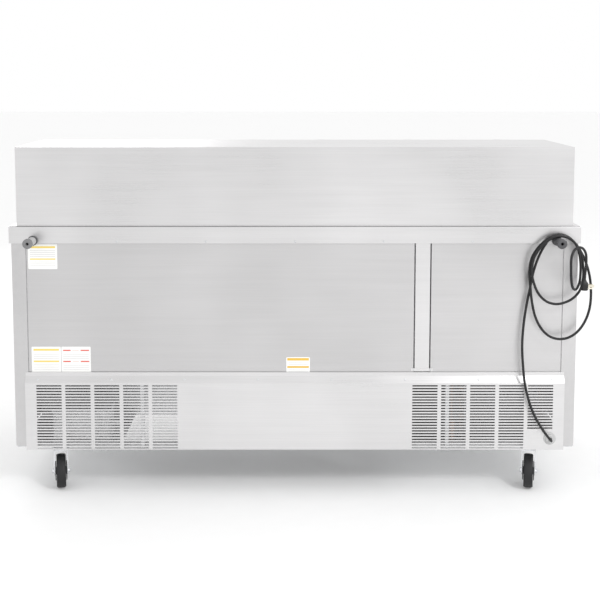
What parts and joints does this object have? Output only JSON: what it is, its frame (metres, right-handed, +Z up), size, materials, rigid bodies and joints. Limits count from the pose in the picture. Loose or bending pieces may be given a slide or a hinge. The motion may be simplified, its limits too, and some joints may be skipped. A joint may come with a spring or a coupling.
{
  "type": "sandwich prep table",
  "caption": "Refrigerated stainless prep table on casters: doored cold cabinet, pan rail under a hinged-lid hood, cutting board, louvred machine bay and mains lead.",
  "frame": {"origin": "centre of the bounding box in plan, without the mains lead, on the floor under the wheels", "axes": "+X across the width, to the right of a person at the doors; +Y from the doors to the wall side; +Z up"},
  "size_m": [1.8329, 0.934, 1.108],
  "materials": {
    "stainless_panel": "fine vertical brushing, satin",
    "stainless_bright": "fine brushing, bright satin",
    "galvanised": "dull spangle",
    "insulation": "rigid foam, rough",
    "board_white": "fine-grained polyethylene",
    "door_lining": "smooth white plastic",
    "gasket_grey": "soft matt",
    "shelf_coat": "white epoxy coat",
    "cover_white": "satin white paint",
    "coil_fins": "fine bare fins",
    "black_plastic": "moulded, matt",
    "black_paint": "satin black paint",
    "copper": "drawn copper, slightly dull",
    "bumper_grey": "moulded, matt",
    "gland_grey": "moulded nylon",
    "cord_black": "smooth black jacket",
    "label_white": null,
    "zinc": "bright zinc plate",
    "wheel_black": "hard black rubber",
    "brake_red": "moulded, matt"
  },
  "bodies": {
    "cabinet": {"side_panel_left": "stainless_panel", "side_panel_right": "stainless_panel", "back_panels": "stainless_panel", "back_seam_cover": "stainless_bright", "worktop": "stainless_bright", "liner_walls": "stainless_bright", "liner_floor": "stainless_bright", "foam_insulation": "insulation", "louvre_panel": "stainless_bright", "base_frame": "galvanised", "front_frame": "stainless_bright", "kick_plate": "stainless_panel", "pan_rail": "stainless_bright", "pans": "stainless_bright", "board_brackets": "stainless_panel", "hood_shell": "stainless_bright", "hood_liner": "stainless_bright", "hinges": "galvanised", "shelves": "shelf_coat", "shelf_supports": "stainless_bright", "evaporator_coil": "coil_fins", "evaporator_cover": "cover_white", "compressor": "black_paint", "condenser_coil": "coil_fins", "fan_shroud": "black_paint", "electrical_box": "galvanised", "refrigerant_tubes": "copper", "wall_bumpers": "bumper_grey", "cord_gland": "gland_grey", "power_cord": "cord_black", "power_plug": "cord_black", "labels": "label_white", "rear_screws": "galvanised"},
    "door_left": {"door_left_skin": "stainless_panel", "door_left_liner": "door_lining", "door_left_gasket": "gasket_grey"},
    "door_middle": {"door_middle_skin": "stainless_panel", "door_middle_liner": "door_lining", "door_middle_gasket": "gasket_grey"},
    "door_right": {"door_right_skin": "stainless_panel", "door_right_liner": "door_lining", "door_right_gasket": "gasket_grey"},
    "lid_left": {"lid_left": "stainless_panel", "lid_left_handle": "stainless_bright"},
    "lid_right": {"lid_right": "stainless_panel", "lid_right_handle": "stainless_bright"},
    "board": {"cutting_board": "board_white"},
    "dial": {"thermostat_dial": "black_plastic"},
    "cabinet_fan": {"evaporator_fan": "black_plastic"},
    "machine_fan": {"condenser_fan": "coil_fins"},
    "fork_rear_left": {"caster_rear_left_fork": "zinc"},
    "wheel_rear_left": {"caster_rear_left_wheel": "wheel_black"},
    "fork_rear_right": {"caster_rear_right_fork": "zinc"},
    "wheel_rear_right": {"caster_rear_right_wheel": "wheel_black"},
    "fork_front_left": {"caster_front_left_fork": "zinc"},
    "wheel_front_left": {"caster_front_left_wheel": "wheel_black"},
    "fork_front_right": {"caster_front_right_fork": "zinc"},
    "wheel_front_right": {"caster_front_right_wheel": "wheel_black"},
    "brake_front_left": {"caster_front_left_brake": "brake_red"},
    "brake_front_right": {"caster_front_right_brake": "brake_red"}
  },
  "joints": [
    {"name": "door_left_swing", "type": "hinge", "parent": "cabinet", "child": "door_left", "pos_m": [-0.876, -0.4, 0.499], "axis": [0, 0, -1], "range_deg": [0, 100]},
    {"name": "door_middle_swing", "type": "hinge", "parent": "cabinet", "child": "door_middle", "pos_m": [-0.28133, -0.4, 0.499], "axis": [0, 0, -1], "range_deg": [0, 100]},
    {"name": "door_right_swing", "type": "hinge", "parent": "cabinet", "child": "door_right", "pos_m": [0.876, -0.4, 0.499], "axis": [0, 0, 1], "range_deg": [0, 100]},
    {"name": "lid_left_lift", "type": "hinge", "parent": "cabinet", "child": "lid_left", "pos_m": [-0.438, -0.055, 1.104], "axis": [-1, 0, 0], "range_deg": [0, 150]},
    {"name": "lid_right_lift", "type": "hinge", "parent": "cabinet", "child": "lid_right", "pos_m": [0.438, -0.055, 1.104], "axis": [-1, 0, 0], "range_deg": [0, 150]},
    {"name": "board_lift", "type": "slide", "parent": "cabinet", "child": "board", "axis": [0, 0, 1], "range_m": [0, 0.05]},
    {"name": "dial_turn", "type": "hinge", "parent": "cabinet", "child": "dial", "pos_m": [0.7, -0.349, 0.176], "axis": [0, -1, 0], "range_deg": [0, 270]},
    {"name": "cabinet_fan_spin", "type": "hinge", "parent": "cabinet", "child": "cabinet_fan", "pos_m": [0, 0.264, 0.63], "axis": [0, 1, 0], "continuous": true},
    {"name": "machine_fan_spin", "type": "hinge", "parent": "cabinet", "child": "machine_fan", "pos_m": [-0.68, 0.152, 0.252], "axis": [0, 1, 0], "continuous": true},
    {"name": "swivel_rear_left", "type": "hinge", "parent": "cabinet", "child": "fork_rear_left", "pos_m": [-0.765, 0.308, 0.12], "axis": [0, 0, 1], "continuous": true},
    {"name": "roll_rear_left", "type": "hinge", "parent": "fork_rear_left", "child": "wheel_rear_left", "pos_m": [-0.75889, 0.33533, 0.054], "axis": [0.9759, -0.2181, 0], "continuous": true},
    {"name": "swivel_rear_right", "type": "hinge", "parent": "cabinet", "child": "fork_rear_right", "pos_m": [0.765, 0.308, 0.12], "axis": [0, 0, 1], "continuous": true},
    {"name": "roll_rear_right", "type": "hinge", "parent": "fork_rear_right", "child": "wheel_rear_right", "pos_m": [0.75889, 0.33533, 0.054], "axis": [0.9759, 0.2181, 0], "continuous": true},
    {"name": "swivel_front_left", "type": "hinge", "parent": "cabinet", "child": "fork_front_left", "pos_m": [-0.765, -0.3, 0.12], "axis": [0, 0, 1], "continuous": true},
    {"name": "roll_front_left", "type": "hinge", "parent": "fork_front_left", "child": "wheel_front_left", "pos_m": [-0.765, -0.272, 0.054], "axis": [1, 0, 0], "continuous": true},
    {"name": "swivel_front_right", "type": "hinge", "parent": "cabinet", "child": "fork_front_right", "pos_m": [0.765, -0.3, 0.12], "axis": [0, 0, 1], "continuous": true},
    {"name": "roll_front_right", "type": "hinge", "parent": "fork_front_right", "child": "wheel_front_right", "pos_m": [0.765, -0.272, 0.054], "axis": [1, 0, 0], "continuous": true},
    {"name": "brake_press_front_left", "type": "hinge", "parent": "fork_front_left", "child": "brake_front_left", "pos_m": [-0.765, -0.324, 0.106], "axis": [1, 0, 0], "range_deg": [0, 20]},
    {"name": "brake_press_front_right", "type": "hinge", "parent": "fork_front_right", "child": "brake_front_right", "pos_m": [0.765, -0.324, 0.106], "axis": [1, 0, 0], "range_deg": [0, 20]}
  ]
}
